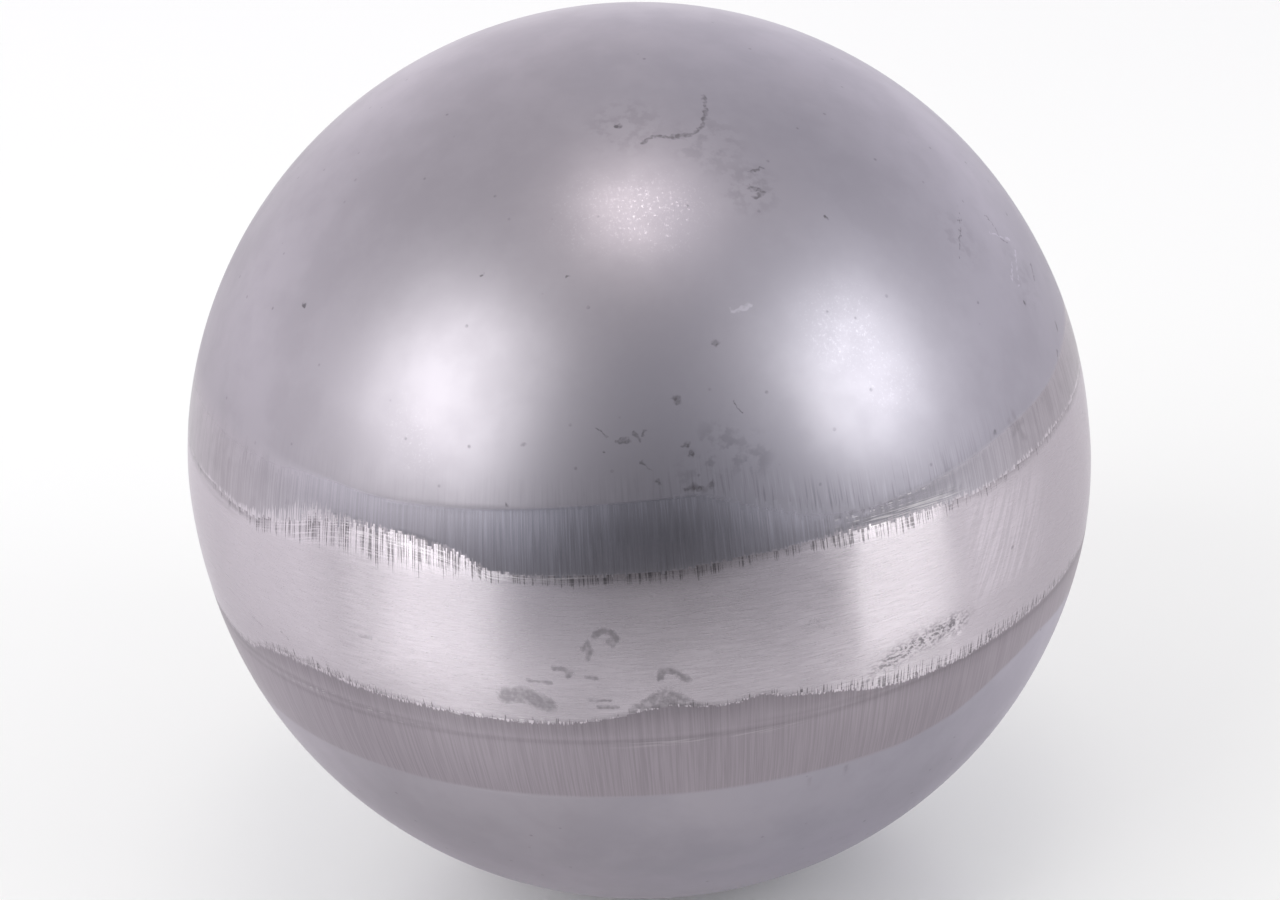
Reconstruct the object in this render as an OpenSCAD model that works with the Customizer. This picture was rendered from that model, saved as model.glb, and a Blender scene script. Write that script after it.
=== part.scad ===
// Hollow steel ball: two pressed half-shells, butt-welded at their rims and ground flush round the seam.
// The origin is the centre of the ball, and +Z runs through the poles, square to the seam.

/* [Ball] */
// Diameter across the ground seam
ball_d = 100; // [60:1:200]
// Thickness of the pressed sheet
wall = 2; // [1.2:0.1:4]
// Height by which each pressed half falls short of a full hemisphere
rim_short = 0.4; // [0.1:0.05:1]

/* [Weld] */
// Width of the weld at its outer face
weld_face = 6; // [4:0.5:10]
// Width of the weld at its root, between the inner edges of the rims
weld_root = 1.5; // [1:0.1:3]
// Flat land left on each side of the root bead
bead_land = 0.15; // [0.05:0.05:0.3]

/* [Grinding] */
// Height of the band that is ground true around the seam
band_h = 17.4; // [12:0.2:24]

/* [Hidden] */
// Facets of a circle in the preview
$fn = 180;
pressed_steel = [0.60, 0.60, 0.63];
ground_steel = [0.78, 0.76, 0.76];

// Radius at height z on a ball of radius r, and the radius of the ball that a point lies on
function radius_at(r, z) = sqrt(r * r - z * z);
function ball_through(r, z) = sqrt(r * r + z * z);

// The ground band lies on a true ball round the origin. Each pressing is centred rim_short past the seam, and
// its skin runs into the ground band at the band's edge.
ground_r = ball_d / 2;
skin_r = ball_through(radius_at(ground_r, band_h / 2), band_h / 2 + rim_short);
cavity_r = skin_r - wall;

// The bevelled rim is a cone from the inner skin at the weld's root to the ground band at the weld's face.
rim_in_r = radius_at(cavity_r, weld_root / 2 + rim_short);
rim_out_r = radius_at(ground_r, weld_face / 2);
rim_spread = (rim_out_r - rim_in_r) / ((weld_face - weld_root) / 2);
rim_seam_r = rim_in_r - rim_spread * weld_root / 2;
bead_d = weld_root - 2 * bead_land;

// All the space on one half's side of its bevelled rim
module rim_side() {
    cylinder(h = ball_d, r1 = rim_seam_r, r2 = rim_seam_r + rim_spread * ball_d);
}

// One pressing with its rim bevelled and its part of the band ground
module half_shell() {
    difference() {
        intersection() {
            sphere(r = ground_r);
            translate([0, 0, -rim_short]) sphere(r = skin_r);
            rim_side();
        }
        translate([0, 0, -rim_short]) sphere(r = cavity_r);
    }
}

module upper_half_shell() {
    color(pressed_steel) half_shell();
}

module lower_half_shell() {
    color(pressed_steel) mirror([0, 0, 1]) half_shell();
}

// The weld fills the groove between the rims, flush with the ground band, and its root bead stands out inside
module weld_seam() {
    color(ground_steel) {
        difference() {
            sphere(r = ground_r);
            rim_side();
            mirror([0, 0, 1]) rim_side();
            cylinder(h = weld_face, r = rim_in_r, center = true);
        }
        rotate_extrude() translate([rim_in_r, 0]) circle(d = bead_d);
    }
}

upper_half_shell();
lower_half_shell();
weld_seam();
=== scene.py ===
import math

import bpy
import numpy as np
from mathutils import Matrix, Vector


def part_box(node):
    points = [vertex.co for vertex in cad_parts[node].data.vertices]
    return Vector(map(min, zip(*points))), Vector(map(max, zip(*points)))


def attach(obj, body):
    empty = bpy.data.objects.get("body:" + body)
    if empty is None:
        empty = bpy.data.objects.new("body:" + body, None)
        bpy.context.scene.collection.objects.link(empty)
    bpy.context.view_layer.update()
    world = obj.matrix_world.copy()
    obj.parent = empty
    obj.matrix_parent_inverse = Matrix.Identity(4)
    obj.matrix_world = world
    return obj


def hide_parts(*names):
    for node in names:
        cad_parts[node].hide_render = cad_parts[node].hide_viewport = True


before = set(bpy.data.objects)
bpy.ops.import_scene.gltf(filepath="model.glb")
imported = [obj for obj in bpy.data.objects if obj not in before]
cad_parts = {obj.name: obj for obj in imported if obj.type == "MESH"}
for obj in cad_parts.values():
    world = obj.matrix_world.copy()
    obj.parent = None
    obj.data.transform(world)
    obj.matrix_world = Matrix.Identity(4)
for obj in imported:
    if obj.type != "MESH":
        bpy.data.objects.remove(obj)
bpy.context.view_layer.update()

# Lengths on the ball are in millimetres and angles in degrees, unless a name says otherwise.
# Longitude 0 faces the camera and grows to the right. Latitude 0 is the seam.
MM = 0.001

# Sizes read from the frame, and the ground band's half height, which sets the crease on each half
GROUND_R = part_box("weld_seam")[1].x / MM
WELD_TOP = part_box("weld_seam")[1].z / MM
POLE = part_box("upper_half_shell")[1].z / MM
BAND_HALF = 8.7
RIM_SHORT = (GROUND_R ** 2 - POLE ** 2) / (2 * (POLE - BAND_HALF))
SKIN_R = POLE + RIM_SHORT
WALL = 2.0
WELD_ROOT_TOP = 0.75
BEAD_R = 0.6
CAVITY_R = SKIN_R - WALL
ROOT_R = math.sqrt(CAVITY_R ** 2 - (WELD_ROOT_TOP + RIM_SHORT) ** 2)
WELD_LAT = math.degrees(math.asin(WELD_TOP / GROUND_R))

# Mesh density: columns and rows of the worked zone, rows of the plain dome, and where columns are halved
COLUMNS = 1440
FINE_TO_LAT = 14.0
FINE_ROW = 0.27
DENSE_TO_LAT = 20.5
EDGE_ROW = 0.45
DOME_ROW = 1.40
HALVE_AT_LAT = (DENSE_TO_LAT, 45.0, 70.0, 82.0)
INNER_COLUMNS = 90
# The pieces' map: strips of the worked zone, the dome as a disc above them, and the inside in a corner
MAP_STRIPS = 2
MAP_TALL = 0.098
MAP_GAP = 0.01
MAP_DISC = (0.4, 0.61, 0.38)
MAP_INSIDE = (0.9, 0.9, 0.08)


# Edges of the worked zones, as latitude over longitude, for the side that faces the camera
DOME_EDGE = (
    (-80, 19), (-62, 18.2), (-47, 17.4), (-42, 17.4), (-37, 17.1), (-33, 16.6), (-29, 16.3), (-20, 16.3),
    (-14, 16.5), (-4, 17), (6, 17.3), (12, 15.6), (18, 13.6), (25, 12.5), (33, 12.9), (40, 13.8),
    (48, 14.9), (60, 16.2), (70, 18), (80, 19.2),
)
BAND_TOP = (
    (-80, 11), (-71, 10.7), (-62, 10.7), (-56, 10.1), (-51, 9.8), (-47, 10.6), (-43, 11.6), (-40, 12.4),
    (-36, 13), (-33, 13.2), (-31, 13.1), (-28, 12.9), (-25, 12.5), (-22, 11.9), (-19.5, 10.9),
    (-17.5, 9.8), (-14, 9.4), (-9, 9.3), (-5, 9.4), (1, 9.4), (5, 9.6), (10, 10), (20, 10.4), (32, 10.2),
    (42, 9.8), (50, 10.4), (60, 11.3), (80, 12.5),
)
BAND_FOOT = (
    (-80, -7.6), (-66, -8.3), (-60, -8.7), (-56.5, -8.4), (-54, -7.4), (-51.5, -6.8), (-48, -6.4),
    (-42, -6.3), (-36, -6.9), (-24, -7.7), (-15, -8.2), (-9, -8.1), (-5, -7.5), (-2, -6.8), (1.3, -6.2),
    (4, -6.7), (7, -7), (10, -6.5), (11.5, -6.2), (14, -7), (20, -7.8), (25, -9), (32, -9.5), (38, -9.4),
    (44, -8.9), (58, -8.3), (80, -7.8),
)
FOOT_EDGE = (
    (-80, -19), (-60, -19.3), (0, -19.4), (30, -19.2), (38, -18), (46, -15.2), (54, -13.4), (66, -14),
    (80, -17),
)
# Along the band's edges the grinding only skimmed the crests between the draw marks: reach of the crests out
# of the band, depth and strength of the dark marks left inside it, and strength of bright crests, partly
# painted highlight
TOP_CRESTS = (
    (-80, 0.5), (-62, 0.5), (-56, 0.8), (-51, 1.3), (-46, 2.4), (-41, 2.4), (-36, 1.2), (-32, 0.6),
    (-26, 0.35), (-20, 0.5), (-15, 0.3), (16, 0.3), (22, 0.7), (30, 0.8), (36, 0.7), (44, 0.6), (58, 0.7),
    (80, 0.6),
)
TOP_LATTICE = (
    (-80, 0.8), (-62, 0.9), (-54, 1.3), (-50, 1.7), (-44, 2.6), (-40, 3.4), (-36, 4.6), (-26, 4.6),
    (-22, 3.4), (-19, 2.1), (-15, 1.2), (-5, 1.5), (8, 1.5), (16, 1.2), (22, 2), (32, 1.9), (40, 1.1),
    (80, 0.8),
)
TOP_STRENGTH = (
    (-80, 0.4), (-64, 0.5), (-52, 0.8), (-44, 0.8), (-37, 1), (-20, 1), (-15, 0.7), (-4, 0.9), (8, 0.9),
    (16, 0.6), (21, 0.9), (32, 1), (38, 0.5), (50, 0.4), (80, 0.3),
)
TOP_WHITE = (
    (-80, 0), (-50, 0.1), (-44, 0.6), (-40, 0.7), (-36, 0.6), (-22, 0.6), (-17, 0.4), (-12, 0.1),
    (18, 0.2), (23, 0.4), (33, 0.4), (37, 0.2), (50, 0.1), (80, 0),
)
FOOT_CRESTS = (
    (-80, 0.3), (-60, 0.5), (-45, 0.8), (-30, 0.6), (-20, 0.3), (-8, 0.3), (-3, 0.2), (5, 0.2), (14, 0.3),
    (22, 0.4), (46, 0.4), (60, 0.4), (80, 0.3),
)
FOOT_LATTICE = (
    (-80, 0.5), (-62, 0.8), (-50, 1.3), (-30, 1.1), (-20, 0.6), (-6, 0.8), (1.3, 1.2), (6, 0.8),
    (14, 0.9), (20, 1.4), (26, 2), (40, 2), (58, 1.6), (80, 1),
)
FOOT_STRENGTH = (
    (-80, 0.3), (-60, 0.5), (-45, 0.75), (-30, 0.65), (-20, 0.4), (-8, 0.4), (8, 0.5), (18, 0.7),
    (26, 0.9), (44, 0.9), (58, 0.7), (80, 0.4),
)
FOOT_WHITE = (
    (-80, 0.1), (-62, 0.25), (-45, 0.18), (-30, 0.1), (-8, 0.08), (8, 0.1), (18, 0.2), (26, 0.4),
    (44, 0.3), (58, 0.2), (80, 0),
)
# Half-worn skin under the band's upper edge, partly painted shade: depth in millimetres and strength
HAZE_DEPTH = 2.6
HAZE = (
    (-80, 0), (-22, 0), (-13, 0.4), (-3, 1), (7, 1), (14, 0.6), (20, 0.3), (24, 0), (80, 0),
)
# Painted shade in stripes over the band's whole height, and near its foot
DULL_PAINTED_SHADE = (
    (-80, 0.22), (-61, 0.2), (-54, 0), (-42, 0), (-37, 0.28), (-32, 0.3), (-29, 0), (-17.6, 0),
    (-16, 0.22), (-10, 0.15), (-4, 0), (8, 0), (15, 0.3), (22.4, 0.45), (23.6, 0), (80, 0),
)
FOOT_PAINTED_SHADE = (
    (-80, 0), (-56, 0.2), (-42, 0.3), (-32, 0.65), (-22, 0.35), (-17, 0.6), (-12, 0.6), (-4, 0.1),
    (8, 0.3), (18, 0.5), (33, 0.6), (36, 0), (80, 0),
)
# Painted light over the band's upper part
PALE_PAINTED_LIGHT = (
    (-80, 0), (-31, 0), (-28, 0.22), (-20, 0.25), (-18, 0), (80, 0),
)
# Softness of the dome's edge in millimetres, and hairlines that run out over it, with their reach in degrees
SOFT = (
    (-80, 4.5), (-56, 4), (-48, 2.4), (-42, 0.8), (-36, 0.25), (2, 0.25), (8, 0.9), (13, 2.2), (22, 1.6),
    (30, 0.5), (60, 0.5), (80, 1.2),
)
HAIRS = (
    (-80, 0), (-52, 0.1), (-30, 0.15), (0, 0.3), (8, 0.8), (20, 1), (34, 0.7), (42, 0.35), (52, 0.1),
    (66, 0), (80, 0),
)
HAIR_REACH = 5.0


def smooth(low, high, value):
    t = np.clip((value - low) / (high - low), 0.0, 1.0)
    return t * t * (3.0 - 2.0 * t)


def along(points, lon):
    """Reads a line of control points at each longitude, closed round the back of the ball."""
    wrapped = (np.asarray(lon) + 180.0) % 360.0 - 180.0
    places = [p[0] for p in points]
    values = [p[1] for p in points]
    middle = 0.5 * (values[0] + values[-1])
    places = [-180.0] + places + [180.0]
    values = [middle] + values + [middle]
    fine = np.linspace(-180.0, 180.0, 2881)
    line = np.interp(fine, places, values)
    kernel = np.hanning(17)
    padded = np.concatenate([line[-9:-1], line, line[1:9]])
    rounded = np.convolve(padded, kernel / kernel.sum(), mode="valid")
    return np.interp(wrapped, fine, rounded)


def waves(lon, height, seed, count, around, tall):
    """A sum of seeded waves that closes round the ball, of about unit size."""
    draw = np.random.default_rng(seed)
    total = np.zeros(np.broadcast(lon, height).shape)
    for _ in range(count):
        turns = draw.integers(around[0], around[1] + 1)
        climb = draw.uniform(-1.0, 1.0) * 2.0 * math.pi / tall
        phase = draw.uniform(0.0, 2.0 * math.pi)
        total += np.cos(np.radians(lon) * turns + height * climb + phase)
    return total / math.sqrt(count / 2.0)


# Relief of the real skin against the smooth one
MISFIT = 0.18
GROUND_DEPTH = 0.012
DRAWN_DEPTH = 0.012
BAND_WAVE = 0.010
DOME_WAVE = 0.020
# Fine ledges left by single grinding passes: run of points, depth, and whether they break up into dashes
LEDGES = (
    (((-76, 11.4), (-66, 10.4), (-52, 9.3)), 0.02, False),
    (((-74, 10.4), (-64, 9.5), (-54, 8.8)), 0.014, False),
    (((-46, 13.3), (-36, 13.5), (-26, 12.2), (-18, 10.2)), 0.014, True),
    (((-44, 12.4), (-34, 12.6), (-24, 11.2), (-17, 9.4)), 0.014, True),
    (((-18.5, 8.5), (-14, 8.6), (-9, 8.8), (-5, 9), (-1, 9.1)), 0.01, False),
    (((20, 12), (26, 12.3), (33, 12.6)), 0.016, True),
    (((18, 10.7), (28, 11.1), (40, 11.4)), 0.014, True),
    (((-68, -9.4), (-45, -9.6), (-24, -10.4)), 0.014, False),
    (((-66, -10.7), (-30, -10.9), (0, -10.8), (18, -10.6), (34, -9.9), (52, -9.2), (66, -8.6)), 0.015, False),
    (((10, -9.8), (16, -9.9), (24, -9.6), (30, -9.1)), 0.009, False),
)
LEDGE_WIDTH = 0.30
LEDGE_DEEP = 0.02
LEDGE_SIDE = 0.45
# Painted highlights on the fine scratches along the edges of the band, where they catch the light, given the
# same way with a strength
PAINTED_GLINTS = (
    (((-43, 13.4), (-36, 13.5), (-30, 12.9), (-24, 11.9), (-18, 10.2)), 0.6, True),
    (((-42, 12.8), (-34, 12.8), (-26, 11.6), (-19, 9.8)), 0.5, True),
    (((-38, 12), (-30, 11.8), (-22, 10.2)), 0.5, True),
    (((-19, 9), (-14, 9.2), (-9, 9.2), (-5, 9.4)), 0.4, False),
    (((20, 11.8), (25, 12.2), (30, 12.5), (37, 13.2)), 1, True),
    (((21, 11.2), (28, 11.5), (35, 11.8)), 0.9, True),
    (((22, 10.8), (29, 11.1), (38, 11.3)), 0.8, False),
    (((24, 10.4), (31, 10.7), (40, 10.8)), 0.8, False),
    (((-6, -11.3), (6, -11.2), (18, -11)), 0.15, False),
    (((-52, -10.2), (-43, -9.9), (-38, -9.7), (-32, -10.4), (-26, -10.7)), 0.24, True),
    (((-66, -8.9), (-61, -9.2), (-54, -8.9)), 0.35, True),
    (((-24, -7.7), (-15, -8), (-8, -7.6)), 0.5, True),
)
GLINT_WIDTH = 0.30
# A patch of the weld that the grinding didn't clean up: longitude and latitude of its middle line
PIT_LINE = ((25.0, -6.6), (30.0, -5.0), (36.5, -4.2))
PIT_COUNT = 70
PIT_SPREAD = 0.9
PIT_R = (0.25, 0.55)
PIT_DEPTH = 0.07


def pit_places():
    """Seeded places, radii and depths of the pits in the rough patch."""
    draw = np.random.default_rng(12)
    share = draw.uniform(0.0, 1.0, PIT_COUNT)
    steps = np.linspace(0.0, 1.0, len(PIT_LINE))
    lon = np.interp(share, steps, [p[0] for p in PIT_LINE]) + draw.normal(0.0, 0.6 * PIT_SPREAD, PIT_COUNT)
    lat = np.interp(share, steps, [p[1] for p in PIT_LINE]) + draw.normal(0.0, 0.7 * PIT_SPREAD, PIT_COUNT)
    radius = draw.uniform(PIT_R[0], PIT_R[1], PIT_COUNT)
    depth = PIT_DEPTH * draw.uniform(0.3, 1.0, PIT_COUNT)
    return lon, lat, radius, depth


PITS = pit_places()


def arc_mm(degrees):
    return np.radians(degrees) * GROUND_R


def pit_depth(lat, lon):
    wrapped = wrap(lon)
    depth = np.zeros(lat.shape)
    near = (np.abs(lat + 5.5) < 5.0) & (np.abs(wrapped - 31.0) < 12.0)
    here_lat = lat[near]
    here_lon = wrapped[near]
    found = np.zeros(here_lat.shape)
    for p_lon, p_lat, radius, deep in zip(*PITS):
        apart = np.hypot(arc_mm(here_lon - p_lon), arc_mm(here_lat - p_lat))
        found = np.maximum(found, deep * np.exp(-(apart / radius) ** 2))
    depth[near] = found
    return depth


def zone_distances(lat, lon):
    """How far inside each edge a point lies, in millimetres."""
    return (
        arc_mm(along(DOME_EDGE, lon) - lat),
        arc_mm(along(BAND_TOP, lon) - lat),
        arc_mm(lat - along(BAND_FOOT, lon)),
        arc_mm(lat - along(FOOT_EDGE, lon)),
    )


def wrap(lon):
    return (lon + 180.0) % 360.0 - 180.0


def read(points, lon):
    """Value of a run of points at each longitude."""
    return np.interp(lon, [p[0] for p in points], [p[1] for p in points])


def dashes(lon, seed, around, low, high):
    """Seeded share that breaks a line up into dashes."""
    return smooth(low, high, waves(lon, np.zeros(lon.shape), seed, 24, around, 1.0))


def streaks(rows, width, lat, lon, broken, rise, fall, shift=0.0):
    """Lines along runs of points, as amounts. Each dies out over its ends."""
    here = wrap(lon)
    total = np.zeros(lat.shape)
    for points, amount, dashed in rows:
        first, last = points[0][0], points[-1][0]
        fade = smooth(first - rise[0], first + rise[1], here) * smooth(last + fall[0], last - fall[1], here)
        if dashed:
            fade = fade * broken
        apart = arc_mm(lat - read(points, here)) - shift
        total = np.maximum(total, amount * fade * np.exp(-(apart / width) ** 2))
    return total


def ledges(lat, lon, shift=0.0):
    """Small grooves along the grinding passes, as depths."""
    broken = dashes(lon, 9, (90, 260), -0.2, 0.5)
    return streaks(LEDGES, LEDGE_WIDTH, lat, lon, broken, (2.0, 4.0), (2.0, 4.0), shift)


def painted_glints(lat, lon):
    """Painted highlights on scratches, as shares."""
    broken = dashes(lon, 15, (110, 330), 0.2, 0.7)
    return streaks(PAINTED_GLINTS, GLINT_WIDTH, lat, lon, broken, (1.0, 2.0), (1.0, 6.0))


def relief(lat, lon):
    """Height of the worked skin over the smooth one, in millimetres."""
    height = GROUND_R * np.sin(np.radians(lat))
    dome_in, top_in, foot_in, low_in = zone_distances(lat, lon)
    ground = smooth(-0.4, 0.4, top_in) * smooth(-0.4, 0.4, foot_in)
    soft = np.maximum(along(SOFT, lon), 0.3)
    drawn = smooth(-soft, soft, dome_in) * smooth(-0.3, 0.3, low_in)
    side = 2.0 * smooth(-BAND_HALF, BAND_HALF, height) - 1.0
    total = -MISFIT * side * np.cos(np.radians(lat)) * np.sin(np.radians(lon))
    total -= GROUND_DEPTH * ground + DRAWN_DEPTH * drawn
    total += BAND_WAVE * ground * waves(lon, height, seed=3, count=24, around=(8, 46), tall=9.0)
    dome = DOME_WAVE * (1.0 - drawn) * np.cos(np.radians(lat)) ** 2
    total += dome * waves(lon, height, seed=5, count=16, around=(2, 9), tall=26.0)
    total -= ledges(lat, lon)
    total -= pit_depth(lat, lon)
    return total


def smooth_radius(lat):
    """Radius of the smooth skin: the pressing, cut back to the ground band."""
    tilt = np.radians(np.abs(lat))
    pressing = np.sqrt(SKIN_R ** 2 - (RIM_SHORT * np.cos(tilt)) ** 2) - RIM_SHORT * np.sin(tilt)
    return np.minimum(pressing, GROUND_R)


def direction(lat, lon):
    la = np.radians(lat)
    lo = np.radians(lon)
    return np.stack([np.cos(la) * np.sin(lo), -np.cos(la) * np.cos(lo), np.sin(la)], axis=-1)


def aim(azimuth, elevation):
    """Unit vector towards a place round the ball."""
    return Vector(direction(np.array(elevation), np.array(azimuth)))


def skin_points(lat, lon):
    radius = smooth_radius(lat) + relief(lat, lon)
    return direction(lat, lon) * radius[..., None]


def skin_normals(lat, lon):
    """Normals of the worked skin, the same on both sides of a border."""
    step_lat = 0.12
    step_lon = 0.25
    up = skin_points(lat + step_lat, lon) - skin_points(lat - step_lat, lon)
    across = skin_points(lat, lon + step_lon) - skin_points(lat, lon - step_lon)
    normal = np.cross(across, up)
    size = np.linalg.norm(normal, axis=-1, keepdims=True)
    flat = np.abs(lat) > 89.0
    normal = np.where(flat[..., None], direction(lat, lon), normal / np.maximum(size, 1e-12))
    return normal


# Strokes of dark film, most of them on the ground band: run of points, half width and strength
STAINS = (
    (((-6.2, 2.6), (-6, 2.9), (-5.2, 3.3), (-4.4, 3), (-3.9, 2.2)), 0.4, 0.8),
    (((-4.8, 2), (-4.4, 1.6)), 0.45, 0.55),
    (((-7.5, 1.2), (-7, 1.9), (-6.8, 0.9), (-7.1, 0.1)), 0.42, 0.55),
    (((-10.9, -1.1), (-10, -1.2), (-9.1, -1.7), (-9.4, -2.1)), 0.38, 0.65),
    (((-7.5, -2.2), (-6.3, -2.4)), 0.26, 0.65),
    (((-16.6, -4.9), (-14.5, -4.6), (-12, -5.8)), 1.1, 0.75),
    (((-14.1, -4.5), (-13.4, -5.8)), 0.5, 0.7),
    (((-14.1, -2.7), (-11.3, -3)), 0.22, 0.6),
    (((-7.4, -5.1), (-5, -5.2)), 0.2, 0.65),
    (((-6.6, -6), (-4.4, -6.1)), 0.22, 0.9),
    (((0.4, -2.8), (0.6, -1.9), (1.8, -2), (3.4, -3.2)), 0.48, 0.62),
    (((16.6, 1.2), (17.6, 1.4), (18.4, 0.4)), 0.5, 0.3),
    (((-51, 6), (-51.6, -1)), 0.9, 0.14),
    (((-2.6, -6.6), (-0.6, -5.2), (0.9, -4.5), (2.2, -5.2), (4.2, -6.8)), 0.7, 0.55),
    (((-1, -6.4), (0.9, -5.4), (2.6, -6.4)), 1, 0.6),
    (((23.8, -7.8), (24, -7.7)), 0.3, 0.7),
    (((49.9, 16.2), (50.4, 14.4), (50.6, 12.8)), 0.3, 0.6),
    (((48.7, 15.4), (50.2, 14.2), (51.4, 12.5)), 0.3, 0.6),
    (((49, 13.8), (51.8, 14.7)), 0.28, 0.5),
    (((45.8, 1.4), (46, 1.4)), 0.22, 0.8),
    (((-34.2, -0.1), (-32.5, 0)), 0.25, 0.5),
    (((-54.3, -3.7), (-52.4, -4.3)), 0.3, 0.4),
    (((-47.9, -3.5), (-46.3, -4.2)), 0.26, 0.4),
    (((22.4, -20), (22.5, -20.5)), 0.25, 0.7),
    (((17.5, -20.3), (17.7, -20.4)), 0.25, 0.5),
    (((0.6, -24.1), (0.8, -24.2)), 0.3, 0.5),
)


# Patches of fine bright flecks on the upper dome, as longitude, latitude, radius and strength
FLECKS = (
    (-4.5, 49, 6.5, 0.8), (4.5, 48.5, 7, 1), (10, 49, 4, 1), (28, 32, 6.5, 0.8), (32, 25, 5, 0.7),
    (-28, 24, 4, 0.6), (-26, 21, 2.5, 0.7),
)
# Patches of dull smudges, given the same way
SMUDGES = (
    (9, 21.6, 3.4, 1), (12.5, 20.4, 2.6, 0.9), (5, 19.5, 2, 0.6), (55, 36.5, 4, 0.5), (2, 61, 5, 0.6),
    (18, 57, 5, 0.6), (22, 50, 4, 0.7), (66, 28, 5, 0.4),
)


def stroke_distance(lat, lon, points):
    """Distance in degrees from a run of points."""
    here = wrap(lon)
    found = np.full(lat.shape, 1e9)
    for (lon_a, lat_a), (lon_b, lat_b) in zip(points, points[1:]):
        run = np.array([lon_b - lon_a, lat_b - lat_a])
        share = ((here - lon_a) * run[0] + (lat - lat_a) * run[1]) / (run @ run)
        share = np.clip(share, 0.0, 1.0)
        apart = np.hypot(here - lon_a - share * run[0], lat - lat_a - share * run[1])
        found = np.minimum(found, apart)
    return found


def stain_amount(lat, lon):
    total = np.zeros(lat.shape)
    for points, half_width, strength in STAINS:
        apart = stroke_distance(lat, lon, points)
        total = np.maximum(total, strength * smooth(1.5 * half_width, 0.2 * half_width, apart))
    return total


def patches(places, lat, lon):
    """Share of a list of round patches at each point."""
    here = direction(lat, lon) * GROUND_R
    total = np.zeros(lat.shape)
    for p_lon, p_lat, radius, strength in places:
        middle = direction(np.array(p_lat), np.array(p_lon)) * GROUND_R
        apart = np.linalg.norm(here - middle, axis=-1)
        total = np.maximum(total, strength * smooth(radius, 0.35 * radius, apart))
    return total


def patch_amount(lat, lon):
    """Where the rough, pitted patch of the weld lies."""
    wrapped = wrap(lon)
    line = read(PIT_LINE, wrapped)
    ends = smooth(22.5, 27.0, wrapped) * smooth(40.0, 35.0, wrapped)
    return ends * np.exp(-((lat - line) / 1.2) ** 2)


def slant_amount(lat, lon):
    """Where the band was dressed again at a slant."""
    wrapped = wrap(lon)
    around = smooth(37.0, 41.0, wrapped) * smooth(56.0, 48.0, wrapped)
    return around * smooth(-4.0, -1.0, lat) * smooth(9.5, 7.5, lat)


def haze_and_painted_tone(lat, lon, top_in):
    """Share of painted shade on the band, in part half-worn skin under its upper edge: under that edge, in
    stripes and near its foot, less painted light over its upper part.
    """
    edge = along(HAZE, lon) * smooth(HAZE_DEPTH, -0.2, top_in)
    foot = along(FOOT_PAINTED_SHADE, lon) * smooth(-1.0, -7.0, lat)
    dull = np.maximum(np.maximum(edge, foot), along(DULL_PAINTED_SHADE, lon))
    return dull - along(PALE_PAINTED_LIGHT, lon) * smooth(-3.0, 2.0, lat)


def lattice(inside, depth, strength, lon):
    """Share of draw marks left inside an edge of the band."""
    deep = along(depth, lon)
    return along(strength, lon) * smooth(deep, 0.35 * deep, inside)


def crests(inside, reach, lon):
    """Share of crests that were ground outside an edge of the band."""
    return smooth(-1.2 * along(reach, lon), 0.1, inside)


def vertex_data(lat, lon):
    """Numbers that the finish reads at each vertex."""
    dome_in, top_in, foot_in, low_in = zone_distances(lat, lon)
    return {
        "dome_in": dome_in,
        "top_in": top_in,
        "foot_in": foot_in,
        "low_in": low_in,
        "crests": np.minimum(crests(top_in, TOP_CRESTS, lon), crests(foot_in, FOOT_CRESTS, lon)),
        "lattice": np.maximum(
            lattice(top_in, TOP_LATTICE, TOP_STRENGTH, lon),
            lattice(foot_in, FOOT_LATTICE, FOOT_STRENGTH, lon),
        ),
        "white_crests_and_highlight": np.maximum(
            lattice(top_in, TOP_LATTICE, TOP_WHITE, lon),
            lattice(foot_in, FOOT_LATTICE, FOOT_WHITE, lon),
        ),
        "haze_and_painted_shade": haze_and_painted_tone(lat, lon, top_in),
        "painted_glint": painted_glints(lat, lon),
        "soft": along(SOFT, lon),
        "stain": stain_amount(lat, lon),
        "patch": patch_amount(lat, lon),
        "fleck": patches(FLECKS, lat, lon),
        "smudge": patches(SMUDGES, lat, lon),
        "slant": slant_amount(lat, lon),
        "hairs": along(HAIRS, lon) * smooth(-arc_mm(HAIR_REACH), 0.0, dome_in) * smooth(0.0, 4.0, lat),
        # Painted shade along each ledge's groove and painted light along the crest beside it
        "groove": ledges(lat, lon) / LEDGE_DEEP,
        "crest": ledges(lat, lon, LEDGE_SIDE) / LEDGE_DEEP,
    }


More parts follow.
